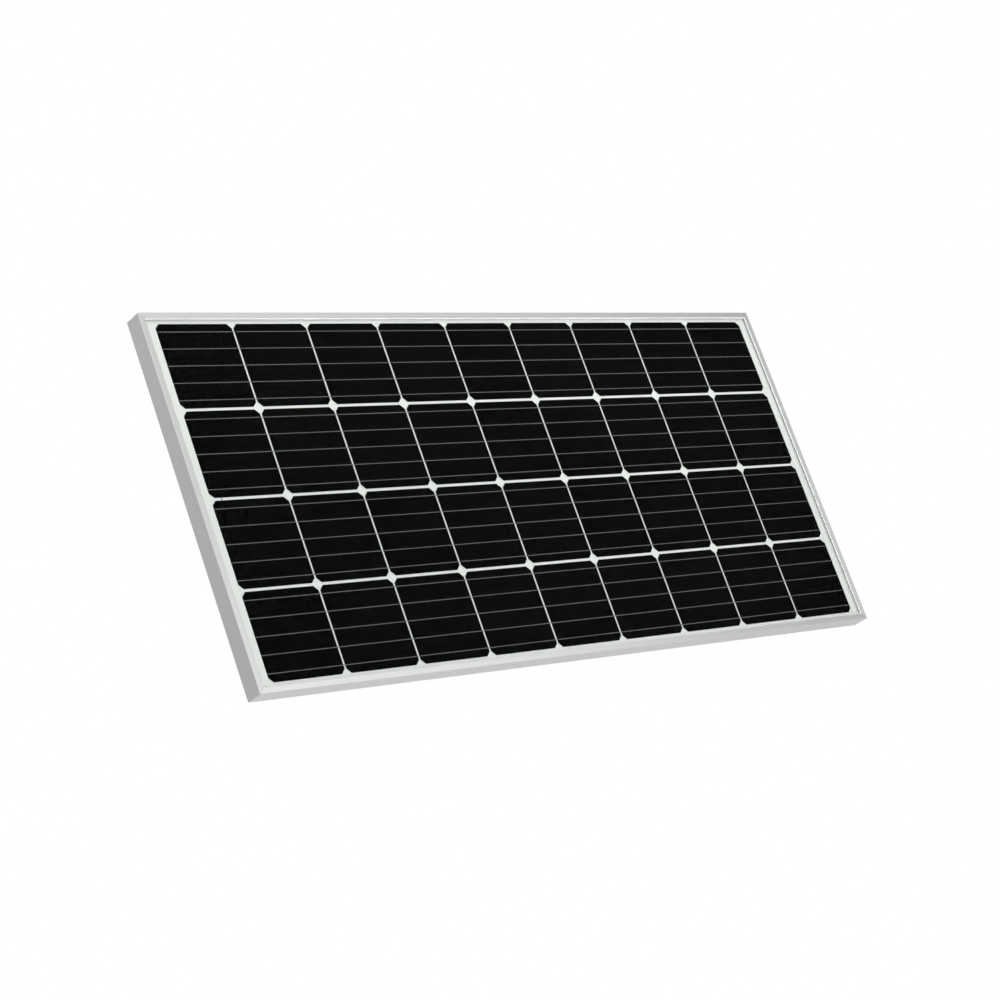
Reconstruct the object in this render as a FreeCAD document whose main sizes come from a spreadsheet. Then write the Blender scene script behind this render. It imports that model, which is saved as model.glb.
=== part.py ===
import FreeCAD, Part
import math
import os
import Sketcher

# Framed mono-crystalline solar panel, landscape, 9 x 4 cells, with its junction
# box, leads and connectors.  Sizes are in millimetres.
# X runs along the long side, Z up along the short side, and the sunny face looks
# along -Y.  The origin is the centre of the frame's rear mounting plane, y = 0.

Vector = FreeCAD.Vector
doc = FreeCAD.newDocument("SolarPanel")

SIZES = {
    # overall
    "panel_length": 1500.0, "panel_height": 680.0, "frame_depth": 35.0,
    # frame extrusion
    "wall": 1.5, "lip_thick": 1.6, "lip_width": 11.0,
    "front_round": 1.3, "small_round": 0.45,
    "ledge_depth": 8.1, "ledge_thick": 1.5, "chamber_width": 9.5,
    "chamber_bottom": 20.5, "web_thick": 1.5, "flange_width": 30.0,
    "flange_thick": 1.5, "mitre_gap": 0.09, "corner_blunt": 1.2,
    # holes in the rear flange
    "slot_spacing": 800.0, "slot_inset": 20.0, "slot_length": 14.0,
    "slot_radius": 4.5, "ground_spacing": 300.0, "ground_radius": 2.1,
    "drain_spacing": 500.0, "drain_length": 12.0, "drain_radius": 3.0,
    # corner keys
    "key_arm": 62.0, "key_fit": 0.1, "key_nose": 1.6,
    "groove_first": 26.0, "groove_second": 44.0, "groove_width": 5.0,
    "groove_taper": 1.0, "groove_depth": 1.2,
    # laminate
    "glass_inset": 3.5, "glass_corner": 2.0, "seal_gap": 0.5, "seal_reach": 10.9,
    "bead_top": 0.7, "bead_reach": 12.6,
    "layer_gap": 0.02, "glass_thick": 3.2, "eva_thick": 0.4,
    "film_thick": 0.08, "ribbon_thick": 0.15, "cell_thick": 0.2,
    "bus_thick": 0.2, "sheet_thick": 0.3, "trim_back": 1.0,
    # cells
    "cell_side": 156.75, "cell_chamfer": 8.5, "gap_along": 3.5, "gap_across": 5.0,
    # ribbons
    "busbar_edge": 14.85, "ribbon_width": 1.25, "ribbon_start": 1.4,
    "bend_room": 1.0, "bend_shift": 0.25,
    "bus_width": 5.0, "bus_inner": 6.0, "bus_outer": 14.0,
    "tail_lane": 32.0, "tail_slit": 1.2, "tail_top": 7.2,
    "cover_start": 0.4, "cover_end": 24.0, "cover_trim": 4.0,
    # junction box
    "box_left": -712.0, "box_long": 100.0, "box_high": 120.0,
    "box_wall": 2.5, "box_floor": 2.5, "bond": 1.06, "bond_out": 1.6,
    "bond_border": 8.0, "box_rim": 6.6, "box_round": 5.0,
    "window_left": -703.0, "window_long": 12.0, "window_half": 38.0,
    "lid_under": 5.8, "lid_thick": 3.0, "lid_edge_round": 1.0,
    "tongue": 2.2, "tongue_gap": 0.6, "tongue_wall": 1.5, "gasket_wide": 1.4,
    "hinge_out": 4.0, "hinge_depth": 4.3, "knuckle_radius": 3.0,
    "knuckle_half": 16.6, "lug_inner": 17.0, "lug_outer": 36.0,
    "pin_radius": 1.5, "pin_half": 35.5, "pin_run": 0.05, "pin_hold": 0.02,
    "catch_offset": 22.0,
    # terminals
    "plate_top": 19.0, "plate_thick": 1.5, "plate_half": 7.0,
    "plate_end": 14.0, "clamp_start": 6.0, "post_offset": 28.0,
    "post_radius": 4.0, "screw_hole": 2.05, "screw_radius": 1.95,
    "screw_head": 3.6, "diode_offset": 9.0, "diode_radius": 4.0,
    "diode_long": 9.0, "diode_lead": 0.6, "diode_span": 23.0,
    # leads
    "gland_depth": 15.0, "boss_radius": 8.0, "boss_long": 14.0,
    "cable_radius": 3.1, "core_radius": 1.5, "nut_across": 19.0,
    "nut_long": 17.0, "gland_seal_radius": 7.6, "pivot_x": -578.0,
    "lead_level": 17.0, "lead_pos_z": 105.0, "lead_neg_z": -101.0,
    "lead_pos_x": 225.0, "lead_neg_x": 190.0,
    # label
    "label_long": 130.0, "label_high": 80.0, "label_thick": 0.12,
    "label_along": 150.0, "label_up": 120.0,
}

# Counts; the series wiring below is laid out for four strings.
COLUMNS = 9
STRINGS = 4
BUSBARS = 5

OVERCUT = 1.0   # how far a cutting tool reaches past what it cuts
EMBED = 0.5     # how far a joined piece sinks into its neighbour

sheet = doc.addObject("Spreadsheet::Sheet", "Dims")
for row, (alias, number) in enumerate(SIZES.items(), start=1):
    sheet.set("A%d" % row, alias)
    sheet.set("B%d" % row, repr(number))
    sheet.setAlias("B%d" % row, alias)
doc.recompute()


class Size:
    """A size: its number now, and the sheet expression that gives it."""

    def __init__(self, number, text):
        self.number = float(number)
        self.text = text

    def __add__(self, other):
        other = size(other)
        return Size(self.number + other.number, "(%s + %s)" % (self.text, other.text))

    def __radd__(self, other):
        return size(other) + self

    def __sub__(self, other):
        other = size(other)
        return Size(self.number - other.number, "(%s - %s)" % (self.text, other.text))

    def __rsub__(self, other):
        return size(other) - self

    def __mul__(self, other):
        other = size(other)
        return Size(self.number * other.number, "(%s * %s)" % (self.text, other.text))

    def __truediv__(self, other):
        other = size(other)
        return Size(self.number / other.number, "(%s / %s)" % (self.text, other.text))

    def __neg__(self):
        return Size(-self.number, "(0 - %s)" % self.text)


def size(value):
    return value if isinstance(value, Size) else Size(value, "(%r)" % float(value))


class SheetSizes:
    def __getattr__(self, name):
        return Size(SIZES[name], "Dims." + name)


dim = SheetSizes()
pieces = []


# ---------------------------------------------------------------- solids
def keep(obj):
    """Mark a finished piece for export under its label."""
    pieces.append(obj)
    return obj


def bind(obj, prop, value):
    value = size(value)
    setattr(obj, prop, value.number)
    obj.setExpression(prop, value.text)


def about_y(degrees):
    return FreeCAD.Rotation(Vector(0, 1, 0), degrees)


def place(obj, x=0, y=0, z=0, rotation=None):
    x, y, z = size(x), size(y), size(z)
    obj.Placement = FreeCAD.Placement(Vector(x.number, y.number, z.number),
                                      rotation or FreeCAD.Rotation())
    obj.setExpression("Placement.Base.x", x.text)
    obj.setExpression("Placement.Base.y", y.text)
    obj.setExpression("Placement.Base.z", z.text)


def around(middle, half):
    """The two limits that lie `half` either side of `middle`."""
    return middle - half, middle + half


def box(name, x0, x1, y0, y1, z0, z1):
    block = doc.addObject("Part::Box", name)
    for prop, low, high in (("Length", x0, x1), ("Width", y0, y1),
                            ("Height", z0, z1)):
        bind(block, prop, size(high) - size(low))
    place(block, x0, y0, z0)
    return block


def rod(name, radius, x, y, z, length, axis="X"):
    cylinder = doc.addObject("Part::Cylinder", name)
    bind(cylinder, "Radius", radius)
    bind(cylinder, "Height", length)
    rotation = {"X": about_y(90),
                "Y": FreeCAD.Rotation(Vector(1, 0, 0), -90),
                "Z": FreeCAD.Rotation()}[axis]
    place(cylinder, x, y, z, rotation)
    return cylinder


def fuse(name, parts):
    if len(parts) == 1:
        return parts[0]
    fusion = doc.addObject("Part::MultiFuse", name)
    fusion.Shapes = parts
    fusion.Refine = True
    return fusion


def cut(name, base, tools):
    tool = fuse(name + "_tools", tools)
    result = doc.addObject("Part::Cut", name)
    result.Base = base
    result.Tool = tool
    result.Refine = True
    return result


def group(name, parts):
    compound = doc.addObject("Part::Compound", name)
    compound.Links = parts
    return compound


# ---------------------------------------------------------------- bodies
def new_body(name):
    body = doc.addObject("PartDesign::Body", name)
    body.AllowCompound = True
    return body


def origin_part(body, role):
    return [f for f in body.Origin.OriginFeatures if f.Role == role][0]


def sketch_on(body, name, plane):
    sketch = body.newObject("Sketcher::SketchObject", name)
    sketch.AttachmentSupport = [(origin_part(body, plane), "")]
    sketch.MapMode = "FlatFace"
    return sketch


def dimension(sketch, value, *constraint):
    value = size(value)
    index = sketch.addConstraint(Sketcher.Constraint(*constraint, value.number))
    sketch.setExpression("Constraints[%d]" % index, value.text)


def pin_point(sketch, geometry, end, x, y):
    dimension(sketch, x, "DistanceX", -1, 1, geometry, end)
    dimension(sketch, y, "DistanceY", -1, 1, geometry, end)


def polygon(sketch, points):
    first = sketch.GeometryCount
    count = len(points)
    corners = [(size(x), size(y)) for x, y in points]
    vectors = [Vector(x.number, y.number, 0) for x, y in corners]
    for i in range(count):
        line = Part.LineSegment(vectors[i], vectors[(i + 1) % count])
        sketch.addGeometry(line, False)
    for i in range(count):
        sketch.addConstraint(Sketcher.Constraint(
            "Coincident", first + i, 2, first + (i + 1) % count, 1))
    for i, (x, y) in enumerate(corners):
        pin_point(sketch, first + i, 1, x, y)


def rectangle(x0, x1, y0, y1):
    return [(x0, y0), (x1, y0), (x1, y1), (x0, y1)]


def octagon(x0, x1, half, chamfer):
    """Corners of a chamfered rectangle, from -half to half in sketch y."""
    return [(x0 + chamfer, -half), (x1 - chamfer, -half),
            (x1, -half + chamfer), (x1, half - chamfer),
            (x1 - chamfer, half), (x0 + chamfer, half),
            (x0, half - chamfer), (x0, -half + chamfer)]


def circle(sketch, x, y, radius):
    x, y, radius = size(x), size(y), size(radius)
    ring = Part.Circle(Vector(x.number, y.number, 0), Vector(0, 0, 1), radius.number)
    index = sketch.addGeometry(ring, False)
    dimension(sketch, radius, "Radius", index)
    pin_point(sketch, index, 3, x, y)


def slot(sketch, x, y, length, radius):
    """A round-ended slot along the sketch's x, `length` from end to end."""
    half = length / 2 - radius
    left, right = (x - half).number, (x + half).number
    low, high = (y - radius).number, (y + radius).number

    def arc(centre_x, start):
        ring = Part.Circle(Vector(centre_x, y.number, 0), Vector(0, 0, 1),
                           radius.number)
        return sketch.addGeometry(
            Part.ArcOfCircle(ring, start, start + math.pi), False)

    def line(x0, x1, level):
        return sketch.addGeometry(
            Part.LineSegment(Vector(x0, level, 0), Vector(x1, level, 0)), False)

    right_arc = arc(right, -math.pi / 2)
    upper = line(right, left, high)
    left_arc = arc(left, math.pi / 2)
    lower = line(left, right, low)
    loop = [right_arc, upper, left_arc, lower]
    for i in range(4):
        sketch.addConstraint(Sketcher.Constraint(
            "Tangent", loop[i], 2, loop[(i + 1) % 4], 1))
    dimension(sketch, radius, "Radius", right_arc)
    pin_point(sketch, right_arc, 3, x + half, y)
    pin_point(sketch, left_arc, 3, x - half, y)


def pad(body, sketch, length, name, reverse=False, midplane=False):
    feature = body.newObject("PartDesign::Pad", name)
    feature.Profile = sketch
    bind(feature, "Length", length)
    feature.Reversed = reverse
    feature.Midplane = midplane
    doc.recompute()
    return feature


def pocket(body, sketch, name, length=None, reverse=False):
    """Cut `length` deep, or right through both ways if no length is given."""
    before = body.Shape.Volume
    feature = body.newObject("PartDesign::Pocket", name)
    feature.Profile = sketch
    if length is None:
        feature.Type = "ThroughAll"
        feature.Midplane = True
    else:
        bind(feature, "Length", length)
        feature.Reversed = reverse
    doc.recompute()
    assert body.Shape.Volume < before - 1e-6, name + " cuts nothing"


def pattern(body, feature, name, direction, pitch, count, second=None):
    """Repeat along an axis; `second` is (axis, pitch, count) for a grid."""
    repeat = body.newObject("PartDesign::LinearPattern", name)
    repeat.Originals = [feature]
    repeat.Direction = (origin_part(body, direction), [""])
    repeat.Mode = "Extent"
    bind(repeat, "Length", pitch * (count - 1))
    repeat.Occurrences = count
    if second:
        direction2, pitch2, count2 = second
        repeat.Direction2 = (origin_part(body, direction2), [""])
        repeat.Mode2 = "Extent"
        bind(repeat, "Length2", pitch2 * (count2 - 1))
        repeat.Occurrences2 = count2
    body.Tip = repeat
    doc.recompute()


def turn(body, sketch, name, kind="Revolution"):
    """Revolve or groove the sketch all round the body's X axis."""
    feature = body.newObject("PartDesign::" + kind, name)
    feature.Profile = sketch
    feature.ReferenceAxis = (origin_part(body, "X_Axis"), [""])
    feature.Angle = 360.0
    doc.recompute()


def soften(body, feature, radius, name, pick):
    """Fillet the edges of `feature` that pick(edge) accepts."""
    doc.recompute()
    names = ["Edge%d" % i for i, edge in enumerate(feature.Shape.Edges, start=1)
             if pick(edge)]
    assert names, name + " found no edges"
    fillet = body.newObject("PartDesign::Fillet", name)
    fillet.Base = (feature, names)
    bind(fillet, "Radius", radius)
    doc.recompute()
    return fillet


def runs_along(edge, direction):
    span = edge.Vertexes[-1].Point - edge.Vertexes[0].Point
    if span.Length <= 1e-6:
        return False
    return abs(abs(span.normalize().dot(direction)) - 1) < 1e-6


def runs_along_y(edge):
    return runs_along(edge, Vector(0, 1, 0))


# ---------------------------------------------------------------- places
def depth(behind):
    """Y of a plane that lies `behind` the frame's front face."""
    return size(behind) - dim.frame_depth


def layer_stack(start, thicknesses):
    """(front y, back y) of each layer, with a small gap between layers."""
    layers = []
    for thickness in thicknesses:
        layers.append((depth(start), depth(start + thickness)))
        start = start + thickness + dim.layer_gap
    return layers


(glass_y, eva_front_y, cover_y, ribbon_front_y, cell_y, ribbon_back_y, film_y,
 tail_y, eva_back_y, backsheet_y) = layer_stack(
    dim.lip_thick + dim.seal_gap,
    [dim.glass_thick, dim.eva_thick, dim.film_thick, dim.ribbon_thick,
     dim.cell_thick, dim.ribbon_thick, dim.film_thick, dim.bus_thick,
     dim.eva_thick, dim.sheet_thick])
back_y = backsheet_y[1]

half_length = dim.panel_length / 2
half_height = dim.panel_height / 2
glass_x = half_length - dim.glass_inset
glass_z = half_height - dim.glass_inset
film_x = glass_x - dim.trim_back
film_z = glass_z - dim.trim_back

# cells: string 1 is the top row
pitch_x = dim.cell_side + dim.gap_along
pitch_z = dim.cell_side + dim.gap_across
array_x = dim.cell_side * COLUMNS + dim.gap_along * (COLUMNS - 1)
cells_left = -array_x / 2
cells_right = array_x / 2
row_z = [pitch_z * ((STRINGS - 1) / 2 - n) for n in range(STRINGS)]

# tails of the bus ribbons
tail_x = dim.window_left + dim.window_long / 2
lanes = (("positive", dim.tail_lane), ("mid_tap", size(0)),
         ("negative", -dim.tail_lane))

# junction box, behind the laminate
box_x0 = dim.box_left
box_x1 = dim.box_left + dim.box_long
box_mid = (box_x0 + box_x1) / 2
box_half = dim.box_high / 2
floor_y0 = back_y + dim.bond
floor_y1 = floor_y0 + dim.box_floor
rim_y = -dim.box_rim
lid_y0 = -dim.lid_under
lid_y1 = lid_y0 + dim.lid_thick
hinge_y = -dim.hinge_depth
hinge_z = box_half + dim.hinge_out
gland_y = -dim.gland_depth
plate_y0 = -dim.plate_top - dim.plate_thick
plate_y1 = -dim.plate_top
post_x = box_mid - dim.post_offset


# ---------------------------------------------------------------- frame
def mounting_holes(sketch):
    for side in (-1, 1):
        slot(sketch, dim.slot_spacing / 2 * side, dim.slot_inset,
             dim.slot_length, dim.slot_radius)
        circle(sketch, dim.ground_spacing / 2 * side, dim.slot_inset,
               dim.ground_radius)


def drain_slots(sketch):
    for side in (-1, 1):
        slot(sketch, dim.drain_spacing / 2 * side, dim.slot_inset,
             dim.drain_length, dim.drain_radius)


def mitre_outline(length):
    """Waste past the mitre at the +x end, with the sharp tip taken off."""
    half = length / 2
    beyond = half + 5
    top = dim.flange_width + 2
    gap = dim.mitre_gap * math.sqrt(2)
    blunt = dim.corner_blunt
    return [(half - blunt - OVERCUT, -OVERCUT), (beyond, -OVERCUT),
            (beyond, top), (half - gap - top, top),
            (half - (blunt + gap) / 2, (blunt - gap) / 2)]


def rail(name, length, draw_holes):
    """One extruded side, outer face on z = 0, inside towards +z, x centred.

    Section: front lip, groove for the laminate, ledge, closed chamber for the
    corner keys, outer wall and rear flange.
    """
    body = new_body(name)
    chamber_end = dim.wall + dim.chamber_width
    web_end = chamber_end + dim.wall
    web_back = depth(dim.chamber_bottom + dim.web_thick)
    sketch = sketch_on(body, name + "_section", "YZ_Plane")
    polygon(sketch, [
        (depth(0), 0), (depth(0), dim.lip_width),
        (depth(dim.lip_thick), dim.lip_width), (depth(dim.lip_thick), dim.wall),
        (depth(dim.ledge_depth), dim.wall), (depth(dim.ledge_depth), web_end),
        (web_back, web_end), (web_back, dim.wall),
        (-dim.flange_thick, dim.wall), (-dim.flange_thick, dim.flange_width),
        (0, dim.flange_width), (0, 0)])
    chamber_front = depth(dim.ledge_depth + dim.ledge_thick)
    chamber_back = depth(dim.chamber_bottom)
    polygon(sketch, [(chamber_front, dim.wall), (chamber_front, chamber_end),
                     (chamber_back, chamber_end), (chamber_back, dim.wall)])
    feature = pad(body, sketch, length, name + "_extrusion", midplane=True)

    def edge_at(y, z):
        y, z = size(y).number, size(z).number
        return lambda edge: runs_along(edge, Vector(1, 0, 0)) and all(
            abs(v.Point.y - y) < 1e-6 and abs(v.Point.z - z) < 1e-6
            for v in edge.Vertexes)

    # a large round on the outer front edge and small ones on the others
    for suffix, radius, y, z in (
            ("_front_round", dim.front_round, depth(0), 0),
            ("_lip_round", dim.small_round, depth(0), dim.lip_width),
            ("_rear_round", dim.small_round, 0, 0),
            ("_flange_round", dim.small_round, 0, dim.flange_width)):
        feature = soften(body, feature, radius, name + suffix, edge_at(y, z))

    sketch = sketch_on(body, name + "_mitres", "XZ_Plane")
    outline = mitre_outline(length)
    polygon(sketch, outline)
    polygon(sketch, [(-x, z) for x, z in reversed(outline)])
    pocket(body, sketch, name + "_mitre_cut")
    # the holes go through the rear flange only
    sketch = sketch_on(body, name + "_holes", "XZ_Plane")
    draw_holes(sketch)
    pocket(body, sketch, name + "_hole_cut", dim.flange_thick * 2, reverse=True)
    return keep(body)


def frame_rails():
    for side, length, draw_holes, x, z, angle in (
            ("bottom", dim.panel_length, mounting_holes, 0, -half_height, 0),
            ("top", dim.panel_length, mounting_holes, 0, half_height, 180),
            ("left", dim.panel_height, drain_slots, -half_length, 0, 90),
            ("right", dim.panel_height, drain_slots, half_length, 0, -90)):
        body = rail("frame_rail_" + side, length, draw_holes)
        place(body, x, 0, z, about_y(angle))


def corner_key(name, angle, side_x, side_z):
    """An angle that sits in the chambers of two rails."""
    body = new_body(name)
    outer = dim.wall + dim.key_fit
    inner = dim.wall + dim.chamber_width - dim.key_fit
    arm, nose = dim.key_arm, dim.key_nose
    sketch = sketch_on(body, name + "_angle", "XZ_Plane")
    polygon(sketch, [
        (outer, outer), (arm - nose, outer), (arm, outer + nose),
        (arm, inner - nose), (arm - nose, inner), (inner, inner),
        (inner, arm - nose), (inner - nose, arm), (outer + nose, arm),
        (outer, arm - nose)])
    thick = (dim.chamber_bottom - dim.ledge_depth - dim.ledge_thick
             - dim.key_fit * 2)
    pad(body, sketch, thick, name + "_block")
    # two tapered grooves across each arm's outer face
    sketch = sketch_on(body, name + "_grooves", "XZ_Plane")
    bottom = outer + dim.groove_depth
    for start in (dim.groove_first, dim.groove_second):
        end = start + dim.groove_width
        groove = [(start, 0), (end, 0), (end - dim.groove_taper, bottom),
                  (start + dim.groove_taper, bottom)]
        polygon(sketch, groove)
        polygon(sketch, [(z, x) for x, z in reversed(groove)])
    pocket(body, sketch, name + "_groove_cut")
    place(keep(body), half_length * side_x,
          depth(dim.chamber_bottom - dim.key_fit), half_height * side_z,
          about_y(angle))


def frame_box(name, inset, y0, y1):
    """A block that lies `inset` inside the frame's outer faces."""
    return box(name, inset - half_length, half_length - inset, y0, y1,
               inset - half_height, half_height - inset)


def frame_ring(name, inset_out, inset_in, y0, y1):
    return cut(name, frame_box(name + "_out", inset_out, y0, y1),
               [frame_box(name + "_in", inset_in, y0 - OVERCUT, y1 + OVERCUT)])


def frame_sealant():
    """A U-section bead round the laminate's edge, and a ridge along the lip."""
    gap = dim.layer_gap
    lip_back = depth(dim.lip_thick + gap)
    block = frame_box("sealant_block", dim.wall + gap, lip_back,
                      depth(dim.ledge_depth - gap))
    channel = cut("sealant_channel", block, [
        frame_box("sealant_slot", dim.glass_inset - gap, glass_y[0] - gap,
                  back_y + gap),
        frame_box("sealant_hole", dim.seal_reach, depth(0),
                  depth(dim.ledge_depth + 2))])

    foot_y = glass_y[0] - gap
    ridge_start = dim.lip_width + gap
    overlap = 0.1
    ridge = frame_ring("sealant_ridge", ridge_start, dim.bead_reach,
                       depth(dim.bead_top), foot_y)
    joint = frame_ring("sealant_joint", dim.seal_reach - overlap,
                       ridge_start + overlap, lip_back, foot_y)
    # the ridge widens from the lip back to the glass
    slope_depth = 0.3
    slope_inset = ridge_start - 0.18
    slope = doc.addObject("Part::Wedge", "sealant_slope")
    for prop, value in (
            ("Xmin", slope_inset - half_length),
            ("Xmax", half_length - slope_inset),
            ("Zmin", slope_inset - half_height),
            ("Zmax", half_height - slope_inset),
            ("X2min", dim.bead_reach - half_length),
            ("X2max", half_length - dim.bead_reach),
            ("Z2min", dim.bead_reach - half_height),
            ("Z2max", half_height - dim.bead_reach),
            ("Ymin", depth(slope_depth)), ("Ymax", foot_y - overlap)):
        bind(slope, prop, value)
    keep(fuse("frame_sealant",
              [channel, cut("sealant_ridge_cut", ridge, [slope]), joint]))


# ---------------------------------------------------------------- laminate
def front_glass():
    body = new_body("front_glass")
    sketch = sketch_on(body, "front_glass_outline", "XZ_Plane")
    polygon(sketch, octagon(-glass_x, glass_x, glass_z, dim.glass_corner))
    pad(body, sketch, dim.glass_thick, "front_glass_sheet")
    place(keep(body), 0, glass_y[1], 0)


def eva_front():
    keep(box("eva_front", -film_x, film_x, *eva_front_y, -film_z, film_z))


def sheet_with_slits(name, y0, y1):
    """A sheet behind the cells, with a slit for each bus ribbon's tail."""
    base = box(name + "_sheet", -film_x, film_x, y0, y1, -film_z, film_z)
    slit_half = dim.bus_width / 2 + 1
    slits = [box("%s_slit_%s" % (name, lane), *around(tail_x, dim.tail_slit),
                 y0 - OVERCUT, y1 + OVERCUT, *around(z, slit_half))
             for lane, z in lanes]
    keep(cut(name, base, slits))


def cell_string(n):
    """Nine chamfered wafers in a row."""
    name = "cell_string_%d" % (n + 1)
    body = new_body(name)
    sketch = sketch_on(body, name + "_wafer", "XZ_Plane")
    polygon(sketch, octagon(size(0), dim.cell_side, dim.cell_side / 2,
                            dim.cell_chamfer))
    wafer = pad(body, sketch, dim.cell_thick, name + "_wafer_pad")
    pattern(body, wafer, name + "_row", "X_Axis", pitch_x, COLUMNS)
    place(keep(body), cells_left, cell_y[1], row_z[n])


def tabbing_ribbons(n):
    """Ribbons from the front of each wafer to the back of the next.

    Local frame: x from the first wafer's edge, y = 0 on the rear ribbons' back
    face.  Strings 1 and 3 run towards +X; 2 and 4 are turned end for end, so
    the four strings join in series.
    """
    name = "tabbing_ribbon_string_%d" % (n + 1)
    body = new_body(name)
    side, thick, start = dim.cell_side, dim.ribbon_thick, dim.ribbon_start
    front = ribbon_front_y[0] - ribbon_back_y[1]
    bar_pitch = (side - dim.busbar_edge * 2) / (BUSBARS - 1)
    bend_start = side + dim.bend_room
    bend_end = pitch_x - dim.bend_room

    sketch = sketch_on(body, name + "_link", "XY_Plane")
    polygon(sketch, [
        (start, front), (bend_start, front), (bend_end, -thick),
        (pitch_x + side - start, -thick), (pitch_x + side - start, 0),
        (bend_end - dim.bend_shift, 0),
        (bend_start - dim.bend_shift, front + thick), (start, front + thick)])
    link = pad(body, sketch, dim.ribbon_width, name + "_link_pad", midplane=True)
    pattern(body, link, name + "_links", "X_Axis", pitch_x, COLUMNS - 1,
            ("Z_Axis", bar_pitch, BUSBARS))

    # leads off the back of the first wafer and the front of the last; only
    # the panel's two end leads reach the outer bus ribbons
    rear_out = (dim.bus_outer if n == 0 else dim.bus_inner) + dim.bus_width
    front_out = (dim.bus_outer if n == 3 else dim.bus_inner) + dim.bus_width
    for end, outline in (
            ("rear", rectangle(-rear_out, side - start, -thick, 0)),
            ("front", rectangle(array_x - side + start, array_x + front_out,
                                front, front + thick))):
        sketch = sketch_on(body, "%s_%s_lead" % (name, end), "XY_Plane")
        polygon(sketch, outline)
        lead = pad(body, sketch, dim.ribbon_width, "%s_%s_lead_pad" % (name, end),
                   midplane=True)
        pattern(body, lead, "%s_%s_leads" % (name, end), "Z_Axis", bar_pitch,
                BUSBARS)
    keep(body)
    first_bar, last_bar = around(row_z[n], side / 2 - dim.busbar_edge)
    if n % 2 == 0:
        place(body, cells_left, ribbon_back_y[1], first_bar)
    else:
        place(body, cells_right, ribbon_back_y[1], last_bar, about_y(180))


def bus_ribbon(name, offset, z0, z1, lane):
    """A strip across the strings' left ends, in the plane of the wafers.

    Its tail runs in behind the wafers and turns back through the slit.
    """
    x0 = cells_left - offset - dim.bus_width
    lane_z = around(lane, dim.bus_width / 2)
    riser_x = tail_x + dim.bus_thick
    keep(fuse(name, [
        box(name + "_strip", x0, cells_left - offset, *cell_y, z0, z1),
        box(name + "_solder", x0, cells_left - offset, cell_y[1], tail_y[0],
            *lane_z),
        box(name + "_tail", x0, riser_x, *tail_y, *lane_z),
        box(name + "_riser", tail_x, riser_x, tail_y[0], back_y + dim.tail_top,
            *lane_z)]))


def bus_ribbons():
    # from a row's middle to just past its outermost busbar
    row_reach = dim.cell_side / 2 - dim.busbar_edge + dim.ribbon_width
    half = dim.bus_width / 2
    bus_ribbon("bus_ribbon_positive", dim.bus_outer, dim.tail_lane - half,
               row_z[0] + row_reach, dim.tail_lane)
    bus_ribbon("bus_ribbon_negative", dim.bus_outer, row_z[3] - row_reach,
               -dim.tail_lane + half, -dim.tail_lane)
    bus_ribbon("bus_ribbon_mid_tap", dim.bus_inner, row_z[2] - row_reach,
               row_z[1] + row_reach, size(0))
    # two plain strips at the right end
    x0 = cells_right + dim.bus_inner
    keep(group("bus_ribbon_string_links", [
        box(name, x0, x0 + dim.bus_width, *cell_y, row_z[lower] - row_reach,
            row_z[upper] + row_reach)
        for name, upper, lower in (("link_upper", 0, 1), ("link_lower", 2, 3))]))


def bus_insulation_film():
    """Film that keeps the tails off the backs of the wafers."""
    margin = 1
    keep(box("bus_insulation_film", cells_left - dim.bus_inner + margin,
             tail_x - margin, *film_y,
             *around(size(0), dim.tail_lane + dim.bus_width)))


def end_cover_strips():
    """Strips in front of the bus ribbons."""
    half = film_z - dim.cover_trim
    keep(box("end_cover_strip_left", cells_left - dim.cover_end,
             cells_left - dim.cover_start, *cover_y, -half, half))
    keep(box("end_cover_strip_right", cells_right + dim.cover_start,
             cells_right + dim.cover_end, *cover_y, -half, half))


# ---------------------------------------------------------------- junction box
def junction_box_adhesive():
    """A rounded frame of adhesive between the backsheet and the box."""
    body = new_body("bond_pad")
    sketch = sketch_on(body, "bond_outline", "XZ_Plane")
    out = dim.bond_out
    polygon(sketch, rectangle(box_x0 - out, box_x1 + out,
                              -box_half - out, box_half + out))
    block = pad(body, sketch, dim.bond - dim.layer_gap * 2, "bond_sheet",
                reverse=True)
    soften(body, block, dim.box_round + out, "bond_round", runs_along_y)
    place(body, 0, back_y + dim.layer_gap, 0)
    border = dim.bond_border
    keep(cut("junction_box_adhesive", body, [
        box("bond_hole", box_x0 + border, box_x1 - border, back_y - OVERCUT,
            floor_y0 + OVERCUT, -box_half + border, box_half - border)]))


def box_tray():
    """A tray with rounded outer corners, open towards +Y."""
    body = new_body("junction_box_tray")
    sketch = sketch_on(body, "tray_outline", "XZ_Plane")
    polygon(sketch, rectangle(box_x0, box_x1, -box_half, box_half))
    tall = rim_y - floor_y0
    block = pad(body, sketch, tall, "tray_block", reverse=True)
    soften(body, block, dim.box_round, "tray_round", runs_along_y)
    # the cavity is cut from the rim down to the floor
    sketch = sketch_on(body, "tray_cavity", "XZ_Plane")
    sketch.AttachmentOffset = FreeCAD.Placement(Vector(0, 0, -tall.number),
                                                FreeCAD.Rotation())
    sketch.setExpression("AttachmentOffset.Base.z", (-tall).text)
    wall = dim.box_wall
    polygon(sketch, rectangle(box_x0 + wall, box_x1 - wall,
                              -box_half + wall, box_half - wall))
    pocket(body, sketch, "tray_hollow", tall - dim.box_floor, reverse=True)
    place(body, 0, floor_y0, 0)
    return body


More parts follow.
